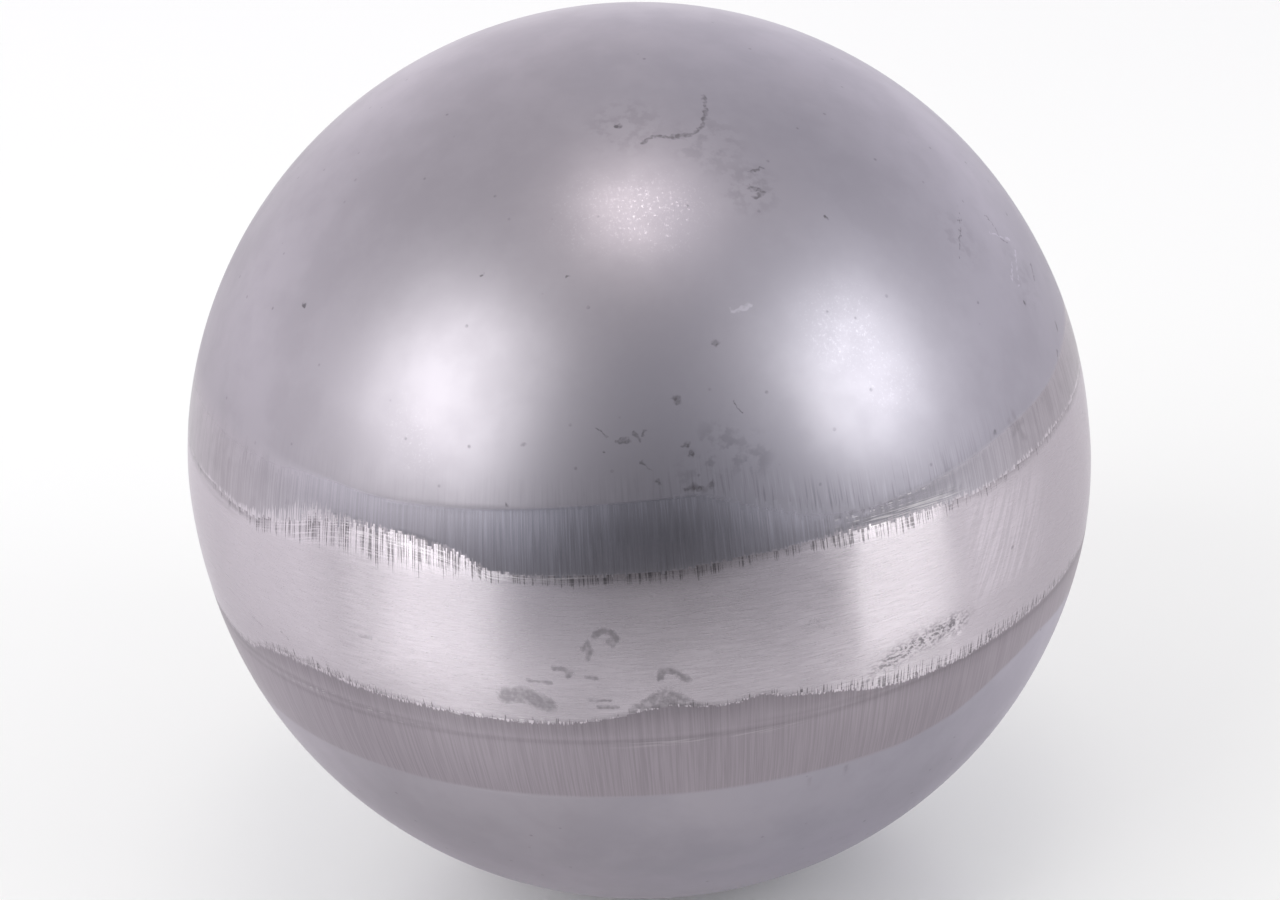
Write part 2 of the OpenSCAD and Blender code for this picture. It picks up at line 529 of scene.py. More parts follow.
class Lathe:
    """Collects rings of vertices and the faces between them, then makes one closed mesh."""

    def __init__(self):
        self.points = []
        self.lats = []
        self.lons = []
        self.shown = []
        self.faces = []
        self.maps = []
        self.count = 0

    def ring(self, points, lat, lon, shown):
        start = self.count
        self.points.append(points)
        self.lats.append(lat)
        self.lons.append(lon)
        self.shown.append(np.full(len(points), shown))
        self.count += len(points)
        return np.arange(start, self.count)

    def join(self, low, high, place, flip=False):
        """Faces between two rings: quads, or triangles where one ring has half the vertices."""
        if len(low) == len(high):
            step = np.roll(low, -1)
            over = np.roll(high, -1)
            blocks = [np.stack([low, step, over, high], axis=1)]
        elif len(high) == 1:
            blocks = [np.stack([low, np.roll(low, -1), np.repeat(high, len(low))], axis=1)]
        else:
            first = low[0::2]
            second = low[1::2]
            third = np.roll(first, -1)
            over = np.roll(high, -1)
            blocks = [
                np.stack([first, second, high], axis=1),
                np.stack([second, over, high], axis=1),
                np.stack([second, third, over], axis=1),
            ]
        for block in blocks:
            self.faces.append(block[:, ::-1] if flip else block)
            self.maps.append(place)

    def object(self, name, zone_of):
        points = np.concatenate(self.points) * MM
        lat = np.concatenate(self.lats)
        lon = np.concatenate(self.lons)
        shown = np.concatenate(self.shown)
        mesh = bpy.data.meshes.new(name)
        sizes = np.concatenate([np.full(len(f), f.shape[1]) for f in self.faces])
        corners = np.concatenate([f.ravel() for f in self.faces])
        starts = np.concatenate([[0], np.cumsum(sizes)[:-1]])
        mesh.vertices.add(len(points))
        mesh.vertices.foreach_set("co", points.astype(np.float32).ravel())
        mesh.loops.add(len(corners))
        mesh.loops.foreach_set("vertex_index", corners.astype(np.int32))
        mesh.polygons.add(len(sizes))
        mesh.polygons.foreach_set("loop_start", starts.astype(np.int32))
        mesh.polygons.foreach_set("use_smooth", np.ones(len(sizes), bool))
        for key, values in vertex_data(lat, lon).items():
            layer = mesh.attributes.new(key, "FLOAT", "POINT")
            layer.data.foreach_set("value", values.astype(np.float32))
        owner = np.repeat(np.arange(len(sizes)), sizes)
        self.lay_out(mesh, corners, owner, lat, lon)
        self.assign_zones(mesh, corners, starts, sizes, lat, lon, zone_of)
        mesh.update(calc_edges=True)
        mesh.validate()
        normals = np.zeros((len(points), 3))
        normals[shown] = skin_normals(lat[shown], lon[shown])
        inside = np.concatenate([np.full(f.size, p != "skin") for f, p in zip(self.faces, self.maps)])
        per_corner = normals[corners]
        per_corner[inside] = 0.0
        mesh.normals_split_custom_set(per_corner.tolist())
        obj = bpy.data.objects.new(name, mesh)
        bpy.context.scene.collection.objects.link(obj)
        return obj

    def lay_out(self, mesh, corners, owner, lat, lon):
        """A map with the worked zone in strips along the seam and the dome as a disc."""
        kind = np.concatenate([np.full(len(f), p == "skin") for f, p in zip(self.faces, self.maps)])
        starts = np.searchsorted(owner, np.arange(len(kind)))
        face_lat = np.add.reduceat(np.abs(lat[corners]), starts) / np.bincount(owner)
        corner_lon = lon[corners].copy()
        first = corner_lon[starts][owner]
        corner_lon = first + (corner_lon - first + 180.0) % 360.0 - 180.0
        face_lon = (np.add.reduceat(corner_lon, starts) / np.bincount(owner)) % 360.0
        corner_lon = face_lon[owner] + (corner_lon - face_lon[owner] + 180.0) % 360.0 - 180.0
        uv = np.zeros((len(corners), 2))
        steep = np.abs(lat[corners])
        strip = np.minimum((face_lon / 360.0 * MAP_STRIPS).astype(int), MAP_STRIPS - 1)
        across = corner_lon / 360.0 * MAP_STRIPS - strip[owner]
        up = (steep - WELD_LAT) / (DENSE_TO_LAT - WELD_LAT)
        uv[:, 0] = MAP_GAP + (1.0 - 2.0 * MAP_GAP) * across
        uv[:, 1] = MAP_GAP + strip[owner] * (MAP_TALL + MAP_GAP) + MAP_TALL * up
        disc = (kind & (face_lat > DENSE_TO_LAT))[owner]
        for part, (left, low, wide), rim in ((disc, MAP_DISC, DENSE_TO_LAT), (~kind[owner], MAP_INSIDE, 0.0)):
            reach = wide * (90.0 - steep[part]) / (90.0 - rim)
            uv[part, 0] = left + reach * np.cos(np.radians(corner_lon[part]))
            uv[part, 1] = low + reach * np.sin(np.radians(corner_lon[part]))
        layer = mesh.uv_layers.new(name="OFBake")
        layer.data.foreach_set("uv", uv.astype(np.float32).ravel())

    def assign_zones(self, mesh, corners, starts, sizes, lat, lon, zone_of):
        face_lat = np.add.reduceat(lat[corners], starts) / sizes
        flat = direction(np.zeros(len(corners)), lon[corners])
        middle = np.add.reduceat(flat, starts, axis=0)
        face_lon = np.degrees(np.arctan2(middle[:, 0], -middle[:, 1]))
        mesh.polygons.foreach_set("material_index", zone_of(face_lat, face_lon).astype(np.int32))


def column_lons(count):
    return np.arange(count) * 360.0 / count


def row_lats():
    """Latitudes of the rows of a half, from the weld's edge to near the pole."""
    fine_rows = math.ceil(arc_mm(FINE_TO_LAT - WELD_LAT) / FINE_ROW)
    edge_rows = math.ceil(arc_mm(DENSE_TO_LAT - FINE_TO_LAT) / EDGE_ROW)
    dome_rows = math.ceil(arc_mm(90.0 - DENSE_TO_LAT) / DOME_ROW)
    fine = np.linspace(WELD_LAT, FINE_TO_LAT, fine_rows + 1)
    edge = np.linspace(FINE_TO_LAT, DENSE_TO_LAT, edge_rows + 1)[1:]
    dome = np.linspace(DENSE_TO_LAT, 90.0, dome_rows + 1)[1:-1]
    return np.concatenate([fine, edge, dome])


def half_shell(name, sign, zone_of):
    """One pressed half: worked skin outside, bevelled rim, plain skin inside."""
    lathe = Lathe()
    flip = sign < 0
    count = COLUMNS
    halved = 0
    below = None
    for lat in row_lats():
        if halved < len(HALVE_AT_LAT) and lat > HALVE_AT_LAT[halved]:
            count //= 2
            halved += 1
        lons = column_lons(count)
        lats = np.full(count, sign * lat)
        ring = lathe.ring(skin_points(lats, lons), lats, lons, True)
        if below is None:
            outer_rim = ring
        else:
            lathe.join(below, ring, "skin", flip)
        below = ring
    top = np.array([sign * 90.0])
    pole = lathe.ring(skin_points(top, np.zeros(1)), top, np.zeros(1), True)
    lathe.join(below, pole, "skin", flip)

    root_lat = math.degrees(math.asin((WELD_ROOT_TOP + RIM_SHORT) / CAVITY_R))
    centre = np.array([0.0, 0.0, -sign * RIM_SHORT])
    count = COLUMNS
    below = None
    for lat in np.concatenate([[root_lat], np.linspace(root_lat, 90.0, 25)[1:-1]]):
        lons = column_lons(count)
        lats = np.full(count, sign * lat)
        ring = lathe.ring(direction(lats, lons) * CAVITY_R + centre, lats, lons, False)
        if below is None:
            lathe.join(outer_rim, ring, "inside", not flip)
        else:
            lathe.join(below, ring, "inside", not flip)
        below = ring
        count = max(count // 2, INNER_COLUMNS)
    inner_pole = lathe.ring(np.array([[0.0, 0.0, sign * CAVITY_R]]) + centre, top, np.zeros(1), False)
    lathe.join(below, inner_pole, "inside", not flip)
    return lathe.object(name, zone_of)


def weld_ring(name, zone_of):
    """The weld between the rims: worked skin outside, and a root bead inside."""
    lathe = Lathe()
    lons = column_lons(COLUMNS)
    rows = math.ceil(arc_mm(2.0 * WELD_LAT) / FINE_ROW)
    rings = []
    for lat in np.linspace(-WELD_LAT, WELD_LAT, rows + 1):
        lats = np.full(COLUMNS, lat)
        rings.append(lathe.ring(skin_points(lats, lons), lats, lons, True))
    for low, high in zip(rings, rings[1:]):
        lathe.join(low, high, "skin")
    land = [(ROOT_R, WELD_ROOT_TOP)]
    bead = [(ROOT_R - BEAD_R * math.sin(a), BEAD_R * math.cos(a)) for a in np.linspace(0.0, math.pi, 9)]
    below = rings[-1]
    for radius, height in land + bead + [(ROOT_R, -WELD_ROOT_TOP)]:
        flat = direction(np.zeros(COLUMNS), lons) * radius + np.array([0.0, 0.0, height])
        lats = np.full(COLUMNS, math.degrees(math.atan2(height, radius)))
        ring = lathe.ring(flat, lats, lons, False)
        lathe.join(below, ring, "inside")
        below = ring
    lathe.join(below, rings[0], "inside")
    return lathe.object(name, zone_of)


PRESSED, DRAWN, GROUND = 0, 1, 2


def tooth_lengths(seed):
    """Seeded length of the tooth in each column, as a share."""
    draw = np.random.default_rng(seed)
    return draw.uniform(0.0, 1.0, COLUMNS)


DOME_TEETH = tooth_lengths(21)
TOP_TEETH = tooth_lengths(22)
FOOT_TEETH = tooth_lengths(23)
# Share of columns with a mark, and how far the teeth reach, as shares of the crests and marks of an edge
MARKED = 0.45
TOOTH_OUT = 0.35
TOP_TOOTH_IN = 0.14
FOOT_TOOTH_IN = 0.25
DOME_TOOTH_MIDDLE = 0.3


def tooth_start(share, out, deep):
    """How far inside an edge the grinding starts in a column. A crest lets it start outside."""
    mark = np.clip((share - 1.0 + MARKED) / MARKED, 0.0, 1.0) ** 1.6
    crest = np.clip((1.0 - MARKED - share) / (1.0 - MARKED), 0.0, 1.0) ** 1.6
    return deep * mark - out * crest


def half_zones(lat, lon):
    """Material of each face of a half. The comb teeth follow seeded columns."""
    column = ((lon % 360.0) / 360.0 * COLUMNS).astype(int) % COLUMNS
    dome_in, top_in, foot_in, low_in = zone_distances(lat, lon)
    drawn = (dome_in > (DOME_TEETH[column] - DOME_TOOTH_MIDDLE) * along(SOFT, lon)) & (low_in > 0.0)
    top_out = TOOTH_OUT * along(TOP_CRESTS, lon)
    top_start = tooth_start(TOP_TEETH[column], top_out, TOP_TOOTH_IN * along(TOP_LATTICE, lon))
    foot_out = TOOTH_OUT * along(FOOT_CRESTS, lon)
    foot_start = tooth_start(FOOT_TEETH[column], foot_out, FOOT_TOOTH_IN * along(FOOT_LATTICE, lon))
    ground = (top_in > top_start) & (foot_in > foot_start)
    return np.where(ground, GROUND, np.where(drawn, DRAWN, PRESSED))


def weld_zones(lat, lon):
    return np.zeros(len(lat))


class Nodes:
    """Short ways to add and link shader nodes in one tree."""

    def __init__(self, tree):
        self.tree = tree

    def add(self, kind, **settings):
        node = self.tree.nodes.new("ShaderNode" + kind)
        for key, value in settings.items():
            setattr(node, key, value)
        return node

    def put(self, value, socket):
        if isinstance(value, bpy.types.NodeSocket):
            self.tree.links.new(value, socket)
        else:
            socket.default_value = value

    def fill(self, kind, values, result=0, **settings):
        """Adds a node, fills its first sockets and gives one of its outputs."""
        node = self.add(kind, **settings)
        for value, socket in zip(values, node.inputs):
            self.put(value, socket)
        return node.outputs[result]

    def math(self, operation, a, b=0, clamp=False):
        return self.fill("Math", (a, b), operation=operation, use_clamp=clamp)

    def times(self, a, b):
        return self.math("MULTIPLY", a, b)

    def plus(self, a, b):
        return self.math("ADD", a, b)

    def minus(self, a, b):
        return self.math("SUBTRACT", a, b)

    def most(self, *values):
        found = values[0]
        for value in values[1:]:
            found = self.math("MAXIMUM", found, value)
        return found

    def join(self, x, y, z):
        return self.fill("CombineXYZ", (x, y, z))

    def split(self, vector):
        node = self.add("SeparateXYZ")
        self.put(vector, node.inputs[0])
        return node.outputs

    def vector(self, operation, *values, result=0):
        return self.fill("VectorMath", values, result, operation=operation)

    def scaled(self, vector, share):
        node = self.add("VectorMath", operation="SCALE")
        self.put(vector, node.inputs[0])
        self.put(share, node.inputs["Scale"])
        return node.outputs[0]

    def data(self, name):
        return self.add("Attribute", attribute_name=name).outputs["Fac"]

    def noise(self, vector, detail=2, rough=0.5, result="Fac"):
        node = self.add("TexNoise")
        self.put(vector, node.inputs["Vector"])
        node.inputs["Scale"].default_value = 1
        node.inputs["Detail"].default_value = detail
        node.inputs["Roughness"].default_value = rough
        return node.outputs[result]

    def ramp(self, value, low, high, start=0, end=1):
        values = (value, low, high, start, end)
        return self.fill("MapRange", values, interpolation_type="SMOOTHSTEP")

    def blend(self, share, a, b):
        """One number that goes from a to b."""
        return self.plus(a, self.times(share, self.minus(b, a)))

    def colour(self, share, a, b, mode="MIX"):
        node = self.add("Mix", data_type="RGBA", blend_type=mode)
        self.put(share, node.inputs[0])
        self.put(a, node.inputs[6])
        self.put(b, node.inputs[7])
        return node.outputs[2]


# Finish: colours as linear red, green, blue
DOME_WARM = (0.396, 0.366, 0.412, 1.0)
DOME_COOL = (0.394, 0.372, 0.434, 1.0)
UPPER_DRAWN = (0.478, 0.453, 0.515, 1.0)
LOWER_DRAWN = (0.352, 0.313, 0.354, 1.0)
GROUND_PALE = (0.660, 0.603, 0.664, 1.0)
GROUND_DULL = (0.590, 0.537, 0.593, 1.0)
# Warm colour of the drawn zone's sides, darker than the front as painted shade
UPPER_SIDE_WORN_AND_SHADED = (0.426, 0.387, 0.432, 1.0)
# Colour of the painted highlights on scratches
PAINTED_GLINT_WHITE = (0.900, 0.860, 0.900, 1.0)
# Shares of painted shade over larger areas, or of painted light where negative
GROUND_SIDES_PAINTED_SHADE = 0.11
RIGHT_PAINTED_SHADE = 0.07
LEFT_PAINTED_SHADE = 0.11
LOWER_FRONT_PAINTED_SHADE = 0.075
LOWER_DRAWN_SIDES_PAINTED_LIGHT = -0.13
LOWER_DOME_SIDES_PAINTED_LIGHT = -0.28
LOWER_POLE_PAINTED_LIGHT = -0.38
SHOULDER_LEFT_PAINTED_SHADE = 0.12
SHOULDER_RIGHT_PAINTED_LIGHT = -0.08
STAIN_COLOUR = (0.230, 0.210, 0.235, 1.0)
EDGE_TINT = (0.90, 0.88, 0.90, 1.0)
SPECK_COLOUR = (0.120, 0.110, 0.125, 1.0)

# Marks on the upper dome: dark spots as longitude, latitude and radius, and lines as points with a width
SPOTS = (
    (4.7, 27.3, 0.52), (10.3, 32.8, 0.48), (5.2, 22.5, 0.42), (5.7, 21.5, 0.4), (1.6, 19, 0.4),
    (-13.3, 23.3, 0.32), (-3.9, 22.4, 0.28), (-15.1, 16.9, 0.34), (-50.3, 34.8, 0.36),
    (-21.4, 41.5, 0.28), (-8.5, 41.4, 0.3), (45.6, 15.2, 0.45), (32.4, 44.2, 0.28), (0.2, 61, 0.48),
    (5.6, 18, 0.4), (6.4, 17.8, 0.42), (62.1, 25.7, 0.42), (74.8, 34.1, 0.36),
)
LINES = (
    (((4.8, 58.1), (7.5, 58.9), (11.7, 58.5), (16.1, 58.5), (18.9, 59.6), (21.8, 61.8), (23.7, 64.3)), 0.34),
    (((-4.6, 24.7), (-3.6, 23.9)), 0.16),
    (((-2.5, 23.5), (-1.2, 23.4)), 0.28),
    (((-0.6, 24.2), (0, 23.5)), 0.3),
    (((0.4, 24), (0.8, 24.5)), 0.22),
    (((4.8, 17.9), (5.8, 18.1), (6.5, 17.7), (7.7, 18.1)), 0.44),
    (((59.6, 38.8), (55.7, 36.6), (52.5, 34.4)), 0.15),
    (((66.1, 36.5), (66.7, 35.3), (65.8, 33.3), (67.2, 32.4)), 0.16),
    (((71.6, 28.1), (69.1, 26.5)), 0.26),
    (((69.8, 20.5), (69.6, 19.7)), 0.34),
    (((66.4, 18), (65.6, 17)), 0.36),
    (((0.1, 21.2), (1.2, 20.2)), 0.2),
    (((11.3, 26.6), (12.1, 25.2)), 0.14),
    (((23.6, 51.9), (26.2, 52.2)), 0.26),
    (((22.2, 50), (24.2, 49.1), (22.4, 48.7)), 0.34),
)
# Bright scratches on the upper dome, given the same way
SCRATCHES = (
    (((63.9, 34.7), (68.7, 32.2)), 0.16),
    (((68.3, 30.9), (62.9, 27.8)), 0.18),
    (((64.9, 30.3), (61.9, 28.8)), 0.18),
    (((13.1, 35.9), (16.2, 36.3)), 0.28),
)
SLANT_LON = 42.0
# Tiny dark specks strewn over the domes
SPECK_APART = 3.0
SPECK_R = 0.24
DOME_ROUGH = 0.385
FLECK_ROUGH = 0.25
UPPER_ROUGH = 0.235
LOWER_ROUGH = 0.32


class Steel(Nodes):
    """A steel whose finish is drawn from its place on the ball. Sizes are in millimetres."""

    def __init__(self, name, anisotropy, turn):
        self.material = bpy.data.materials.new(name)
        self.material.use_nodes = True
        super().__init__(self.material.node_tree)
        self.shader = self.tree.nodes["Principled BSDF"]
        self.shader.inputs["Metallic"].default_value = 1
        self.shader.inputs["Specular Tint"].default_value = EDGE_TINT
        self.shader.inputs["Anisotropic"].default_value = anisotropy
        self.shader.inputs["Anisotropic Rotation"].default_value = turn
        self.place = self.scaled(self.add("TexCoord").outputs["Object"], 1 / MM)
        self.x, self.y, self.z = self.split(self.place)
        wide = self.plus(self.times(self.x, self.x), self.times(self.y, self.y))
        wide = self.math("SQRT", self.plus(wide, 0.01))
        self.ring_x = self.math("DIVIDE", self.x, wide)
        self.ring_y = self.math("DIVIDE", self.y, wide)
        self.upper = self.ramp(self.z, -2, 2)

    def grain(self, around, tall, detail=2, rough=0.5, height=None):
        """Noise with features of a given size round the ball and along its axis."""
        turn = GROUND_R / around
        level = self.times(self.z if height is None else height, 1 / tall)
        place = self.join(self.times(self.ring_x, turn), self.times(self.ring_y, turn), level)
        return self.noise(place, detail, rough)

    def cloud(self, size, detail=2, rough=0.5, shift=0):
        place = self.vector("MULTIPLY_ADD", self.place, (1 / size,) * 3, (shift,) * 3)
        return self.noise(place, detail, rough)

    def on_skin(self, lon, lat):
        return Vector(skin_points(np.array([lat]), np.array([lon]))[0])

    def spot(self, place, lon, lat, radius):
        apart = self.vector("DISTANCE", place, self.on_skin(lon, lat), result=1)
        return self.ramp(apart, radius, 0.35 * radius)

    def line(self, place, start, end, width):
        """A mark between two points, in longitude and latitude."""
        a = self.on_skin(*start)
        run = self.on_skin(*end) - a
        away = self.vector("SUBTRACT", place, a)
        reach = self.vector("DOT_PRODUCT", away, run, result=1)
        share = self.math("MULTIPLY", reach, 1 / run.length_squared, clamp=True)
        apart = self.vector("DISTANCE", away, self.scaled(run, share), result=1)
        return self.ramp(apart, width, 0.3 * width)

    def lines(self, place, rows):
        """Marks along runs of points, each run with its width."""
        return [self.line(place, a, b, width) for points, width in rows for a, b in zip(points, points[1:])]

    def specks(self):
        """Tiny specks of a seeded pattern."""
        node = self.add("TexVoronoi")
        self.put(self.place, node.inputs["Vector"])
        node.inputs["Scale"].default_value = 1 / SPECK_APART
        return self.ramp(node.outputs["Distance"], SPECK_R / SPECK_APART, 0.4 * SPECK_R / SPECK_APART)

    def shade(self, colour, share, amount):
        """Darkens a colour by an amount, or lightens it if the amount is negative."""
        level = self.minus(1, self.times(share, amount))
        return self.colour(1, colour, self.join(level, level, level), "MULTIPLY")

    def stained(self, colour):
        return self.colour(self.times(self.data("stain"), STAIN_SHARE), colour, STAIN_COLOUR)

    def drawn_share(self):
        soft = self.data("soft")
        edge = self.ramp(self.data("dome_in"), self.times(soft, -0.5), self.times(soft, 0.5))
        return self.times(edge, self.ramp(self.data("low_in"), -0.3, 0.3))

    def dome_colour(self):
        """Cooler on one side of the ball and warmer on the other, with painted shade and light on the lower
        half.
        """
        side = self.plus(self.x, self.times(self.cloud(16, 2), 40))
        colour = self.colour(self.ramp(side, 5, 45), DOME_WARM, DOME_COOL)
        return self.painted_lower_half(colour, LOWER_DOME_SIDES_PAINTED_LIGHT)

    def sides(self):
        """One on the left and right sides of the ball."""
        return self.ramp(self.math("ABSOLUTE", self.x), 24, 44)

    def painted_side_shade(self):
        """Share of painted shade, growing towards the sides of the ball and most to its right."""
        return self.plus(self.sides(), self.ramp(self.x, 18, 40, 0, 0.8))

    def painted_lower_half(self, colour, on_sides):
        """Paints shade on the front of the lower half and painted light on its sides."""
        amount = self.blend(self.sides(), LOWER_FRONT_PAINTED_SHADE, on_sides)
        return self.shade(colour, self.times(amount, self.minus(1, self.upper)), 1)

    def drawn_colour(self):
        """Colour of the drawn zones: warmer and mottled with wear on the sides of the upper half and darker
        there as painted shade, with painted shade on the right and at the front left, and the lower half's
        painted tones.
        """
        worn_and_shaded = self.shade(UPPER_SIDE_WORN_AND_SHADED, self.ramp(self.cloud(2.4, 1, 0.6, 7), 0.40, 0.64), WORN_DARK)
        # Painted shade on the right side
        worn_and_shaded = self.shade(worn_and_shaded, self.ramp(self.x, 24, 44), RIGHT_PAINTED_SHADE)
        # Painted shade on the upper drawn zone at the front left
        left = self.ramp(self.math("ABSOLUTE", self.plus(self.x, 13)), 14, 5)
        upper = self.shade(self.colour(self.sides(), UPPER_DRAWN, worn_and_shaded), left, LEFT_PAINTED_SHADE)
        return self.painted_lower_half(self.colour(self.upper, LOWER_DRAWN, upper), LOWER_DRAWN_SIDES_PAINTED_LIGHT)

    def passes(self):
        """Fine scratches that follow the band's upper edge."""
        return self.ramp(self.grain(4, 0.10, 1, 0.5, self.data("top_in")), 0.48, 0.62)

    def edge_lines(self, colour, scratch):
        # Painted shade in the ledges' grooves and painted light on the crests beside them
        colour = self.shade(colour, self.data("groove"), LEDGE_PAINTED_SHADE)
        colour = self.shade(colour, self.data("crest"), LEDGE_PAINTED_LIGHT)
        # Painted highlights where the glints lie on the fine scratches
        return self.colour(self.times(self.data("painted_glint"), scratch), colour, PAINTED_GLINT_WHITE)

    def lean(self, amount, towards):
        """The normal, tilted by an amount in radians towards a direction of the ball."""
        kinds = {"vector_type": "VECTOR", "convert_from": "OBJECT", "convert_to": "WORLD"}
        turned = self.fill("VectorTransform", (towards,), **kinds)
        normal = self.add("NewGeometry").outputs["Normal"]
        return self.vector("NORMALIZE", self.vector("ADD", self.scaled(turned, amount), normal))

    def finish(self, colour, roughness, normal=None):
        self.put(colour, self.shader.inputs["Base Color"])
        self.put(roughness, self.shader.inputs["Roughness"])
        if normal:
            self.put(normal, self.shader.inputs["Normal"])
        return self.material


# Shares by which single marks darken the skin, or lighten it where negative; some are painted shade and
# painted light
STAIN_SHARE = 0.7
WORN_DARK = 0.07
LEDGE_PAINTED_SHADE = 0.20
LEDGE_PAINTED_LIGHT = -0.06
MOTTLE_DARK = 0.07
SMUDGE_DARK = 0.20
HAIR_DARK = 0.28
HAIR_PALE = -0.18
MARK_DARK = 0.85
LINE_SHARE = 0.78
SPECK_SHARE = 0.5
SCRATCH_PALE = -0.28
FLECK_PALE = -0.17
RIM_PAINTED_LIGHT = -0.14
UNDER_DARK = 0.17
EDGE_DARK = 0.13
CREST_SHARE = 0.8
HAZE_AND_PAINTED_SHADE_DARK = 0.32
PATCH_DARK = 0.09
CRUST_PALE = -0.12
PIT_DARK = 0.80
SLANT_PALE = -0.16
NEAR_DARK = 0.26
COMB_DARK = 0.60
WHITE_CRESTS_AND_HIGHLIGHT = -0.38
# How far marks stray from their drawn place, and how rough marks and stains are over the skin round them
MARK_STRAY = 0.9
MARK_ROUGH = 0.08
STAIN_ROUGH = 0.10
# Grain of the drawn and the ground steel as shares, and the tilt of the ground steel's scratches in radians
DRAWN_GRAIN = 0.35
GROUND_GRAIN = 1
BRUSH_TILT = 0.075


def pressed_finish():
    """The plain dome: satin, with smudges, bright scratches and a few named marks."""
    n = Steel("pressed_steel_skin", 0, 0)
    mottle = n.cloud(8, 4, 0.6)
    colour = n.shade(n.dome_colour(), n.ramp(mottle, 0.34, 0.66), MOTTLE_DARK)
    # Painted light: the lower dome is paler towards its pole
    colour = n.shade(colour, n.ramp(n.z, -22, -42), LOWER_POLE_PAINTED_LIGHT)
    # Painted shade on the upper left of the dome towards the back, and painted light on the upper right
    painted_shoulder = n.times(n.ramp(n.y, -26, -8), n.ramp(n.y, 34, 12))
    painted_shoulder = n.times(painted_shoulder, n.ramp(n.z, 18, 30))
    colour = n.shade(colour, painted_shoulder, n.ramp(n.x, -34, -20, SHOULDER_LEFT_PAINTED_SHADE, SHOULDER_RIGHT_PAINTED_LIGHT))
    smudge = n.times(n.ramp(n.cloud(1.5, 3, 0.6, 5), 0.46, 0.62), n.data("smudge"))
    colour = n.shade(colour, smudge, SMUDGE_DARK)
    dash = n.grain(0.20, 4.5, 1)
    hairs = n.data("hairs")
    colour = n.shade(colour, n.times(hairs, n.ramp(dash, 0.44, 0.34)), HAIR_DARK)
    colour = n.shade(colour, n.times(hairs, n.ramp(dash, 0.58, 0.68)), HAIR_PALE)
    stray = n.vector("SUBTRACT", n.noise(n.scaled(n.place, 1.6), 1, 0.5, "Color"), (0.5,) * 3)
    moved = n.vector("ADD", n.place, n.scaled(stray, MARK_STRAY))
    marks = [n.spot(moved, *spot) for spot in SPOTS] + [n.times(n.specks(), SPECK_SHARE)]
    marks += [n.times(line, LINE_SHARE) for line in n.lines(moved, LINES)]
    mark = n.times(n.most(*marks), n.ramp(n.cloud(0.5, 2, 0.6, 3), 0.38, 0.62, 0.5, 1))
    colour = n.colour(n.times(mark, MARK_DARK), colour, SPECK_COLOUR)
    colour = n.shade(colour, n.most(*n.lines(moved, SCRATCHES)), SCRATCH_PALE)
    drawn = n.drawn_share()
    colour = n.colour(drawn, n.stained(colour), n.drawn_colour())
    fleck = n.times(n.ramp(n.cloud(0.26, 3, 0.7, 2), 0.54, 0.72), n.data("fleck"))
    colour = n.shade(colour, fleck, FLECK_PALE)
    rough = n.plus(n.ramp(mottle, 0.36, 0.64, -0.012, 0.012), DOME_ROUGH)
    rough = n.plus(n.blend(fleck, rough, FLECK_ROUGH), n.times(mark, MARK_ROUGH))
    rough = n.blend(drawn, rough, n.blend(n.upper, LOWER_ROUGH, UPPER_ROUGH))
    return n.finish(colour, rough)


def drawn_finish():
    """The zone near each rim, drawn over the die: smoother, with hairlines towards the poles."""
    n = Steel("drawn_steel_skin", DRAWN_GRAIN, 0)
    hair = n.grain(0.18, 8, 2, 0.6)
    light = n.grain(0.13, 4.5, 1)
    dome_in = n.data("dome_in")
    foot_in = n.data("foot_in")
    front = n.ramp(n.math("ABSOLUTE", n.x), 26, 5)
    dark = n.plus(n.times(front, n.ramp(dome_in, 0.3, 5, 0.03, 0.10)), 0.01)
    colour = n.shade(n.drawn_colour(), n.ramp(hair, 0.46, 0.34), n.blend(n.upper, 0.01, dark))
    # Painted light on the upper drawn zone near the dome's edge at the front
    rim = n.times(front, n.ramp(dome_in, 3.2, 0.6))
    colour = n.shade(colour, rim, n.times(n.upper, RIM_PAINTED_LIGHT))
    pale = n.blend(n.upper, -0.025, n.blend(front, -0.008, -0.18))
    colour = n.shade(colour, n.ramp(light, 0.48, 0.62), pale)
    under = n.times(n.ramp(foot_in, -2.6, 0), n.minus(1, n.upper))
    colour = n.shade(colour, under, UNDER_DARK)
    edge = n.most(n.ramp(n.data("top_in"), -1.2, 0), n.ramp(foot_in, -1.6, 0.2))
    colour = n.shade(colour, n.times(edge, n.ramp(hair, 0.65, 0.35)), EDGE_DARK)
    drawn = n.drawn_share()
    colour = n.colour(drawn, n.dome_colour(), n.stained(n.edge_lines(colour, n.passes())))
    skimmed = n.data("crests")
    crest = n.minus(n.grain(0.17, 6, 1), n.ramp(skimmed, 0, 1, 0.72, 0.44))
    crest = n.times(n.ramp(crest, -0.02, 0.06), n.ramp(skimmed, 0, 0.3))
    colour = n.colour(n.times(crest, CREST_SHARE), colour, GROUND_PALE)
    rough = n.plus(n.blend(n.upper, LOWER_ROUGH, UPPER_ROUGH), n.ramp(hair, 0.3, 0.7, 0.02, -0.02))
    rough = n.blend(drawn, DOME_ROUGH, rough)
    tilt = n.blend(n.upper, 0.012, n.blend(front, 0.003, 0.04))
    lift = n.times(n.minus(n.blend(0.6, hair, light), 0.5), tilt)
    return n.finish(colour, rough, n.lean(lift, (0, 0, 1)))


